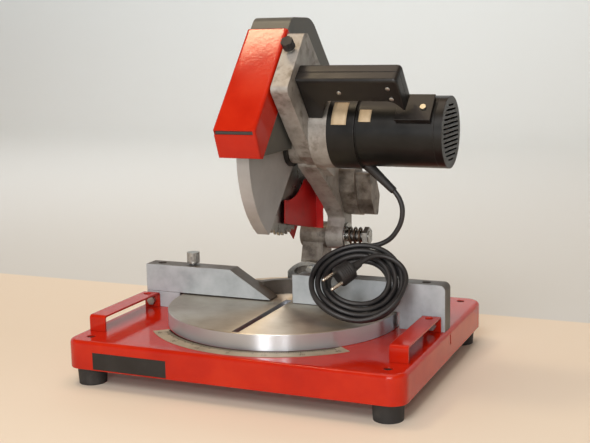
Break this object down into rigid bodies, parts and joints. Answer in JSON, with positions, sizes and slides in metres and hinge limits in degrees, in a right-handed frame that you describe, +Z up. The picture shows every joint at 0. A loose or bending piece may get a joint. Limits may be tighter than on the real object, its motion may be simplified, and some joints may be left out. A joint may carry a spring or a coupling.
{
  "type": "compound mitre saw",
  "caption": "Bench mitre saw with a chopping head, swinging blade guard, turntable, split fence, motor, handle and stowed cord.",
  "frame": {"origin": "on the bench under the turntable's mitre axis, midway between the four feet", "axes": "+X to the right along the fence, +Y to the back, +Z up"},
  "size_m": [0.48, 0.404, 0.489],
  "materials": {
    "red_paint": "gloss orange-red paint",
    "deep_red_paint": "gloss deep red paint",
    "grey_paint": "satin grey paint",
    "fence_paint": "satin light grey paint on cast aluminium",
    "machined_aluminium": "turned, with faint stains",
    "cast_aluminium": "as cast, mottled",
    "guard_sheet": "brushed sheet",
    "scale_sheet": "pale printed sheet",
    "black_plate": "gloss black",
    "black_plastic": "moulded, satin",
    "motor_paint": "satin black paint on cast aluminium",
    "rubber": "matt",
    "steel": "zinc plated",
    "blade_steel": "ground",
    "spring_steel": "oiled",
    "winding": "laminations and varnished copper",
    "brass": "dull"
  },
  "bodies": {
    "base": {"tray": "red_paint", "feet": "rubber", "name_plate": "black_plate", "scale_plate": "scale_sheet", "left_rail": "red_paint", "right_rail": "red_paint", "rail_bolts": "steel", "fence": "fence_paint", "fence_bolts": "steel", "cord_coil": "rubber", "plug": "rubber"},
    "slide": {"sliding_fence": "fence_paint"},
    "thumbscrew": {"fence_screw": "steel"},
    "turntable": {"table": "machined_aluminium", "table_retainer": "steel", "retainer_screw": "steel", "quadrant": "cast_aluminium", "quadrant_bolts": "steel", "bevel_pin": "steel"},
    "tilt": {"column": "cast_aluminium", "bevel_bolt": "steel", "pivot_shaft": "steel", "pivot_washer": "steel", "pivot_nut": "steel", "return_spring": "spring_steel"},
    "head": {"arm": "cast_aluminium", "spring_housing": "cast_aluminium", "knob_stud": "steel", "motor_flange": "cast_aluminium", "arm_bolts": "steel", "motor_housing": "motor_paint", "end_shield": "cast_aluminium", "fan_cover": "black_plastic", "stator": "winding", "terminal_box": "black_plastic", "terminal_lid": "black_plastic", "lid_screw": "brass", "handle_front": "black_plastic", "handle_back": "black_plastic", "handle_screws": "steel", "switch": "black_plastic", "hood": "grey_paint", "hood_spacers": "steel", "front_cover": "red_paint", "cover_screws": "steel", "rear_guard": "deep_red_paint", "guard_screws": "steel", "spindle_bearings": "steel", "strain_relief": "rubber", "cord_lead": "rubber"},
    "clamp_knob": {"knob": "black_plastic"},
    "switch_trigger": {"trigger": "black_plastic"},
    "swing_guard": {"lower_guard": "guard_sheet", "guard_hub": "black_plastic"},
    "blade_set": {"spindle": "steel", "blade": "blade_steel", "flanges": "steel", "arbor_nut": "steel"},
    "motor_rotor": {"rotor": "steel", "fan": "black_plastic"}
  },
  "joints": [
    {"name": "mitre", "type": "hinge", "parent": "base", "child": "turntable", "pos_m": [0, 0, 0.063], "axis": [0, 0, 1], "range_deg": [-45, 45]},
    {"name": "bevel", "type": "hinge", "parent": "turntable", "child": "tilt", "pos_m": [0, 0.11, 0.0865], "axis": [0, 1, 0], "range_deg": [-45, 0]},
    {"name": "chop", "type": "hinge", "parent": "tilt", "child": "head", "pos_m": [0.03, 0.136, 0.163], "axis": [1, 0, 0], "range_deg": [0, 40], "stiffness_Nm_per_rad": 15, "springref_deg": -68.75, "deforming": ["cord_lead", "cord_coil", "plug"]},
    {"name": "guard_swing", "type": "hinge", "parent": "head", "child": "swing_guard", "pos_m": [0.012, 0.01, 0.31], "axis": [1, 0, 0], "range_deg": [-80, 0]},
    {"name": "blade_spin", "type": "hinge", "parent": "head", "child": "blade_set", "pos_m": [0, 0.01, 0.31], "axis": [1, 0, 0], "continuous": true},
    {"name": "rotor_spin", "type": "hinge", "parent": "head", "child": "motor_rotor", "pos_m": [0.13, 0.01, 0.335], "axis": [1, 0, 0], "continuous": true},
    {"name": "trigger_press", "type": "slide", "parent": "head", "child": "switch_trigger", "axis": [0, -0.749, -0.6626], "range_m": [0, 0.004], "stiffness_N_per_m": 1200, "springref_m": -0.003},
    {"name": "fence_slide", "type": "slide", "parent": "base", "child": "slide", "axis": [1, 0, 0], "range_m": [-0.06, 0]},
    {"name": "fence_screw_turn", "type": "hinge", "parent": "slide", "child": "thumbscrew", "pos_m": [-0.156, 0.017, 0.13], "axis": [0, 0, 1], "continuous": true},
    {"name": "knob_turn", "type": "hinge", "parent": "head", "child": "clamp_knob", "pos_m": [0.045, -0.0659, 0.4457], "axis": [0, -0.748, 0.6637], "continuous": true}
  ],
  "couplings": [
    {"joint": "guard_swing", "follows": "chop", "ratio": -2},
    {"joint": "rotor_spin", "follows": "blade_spin", "ratio": -1}
  ]
}
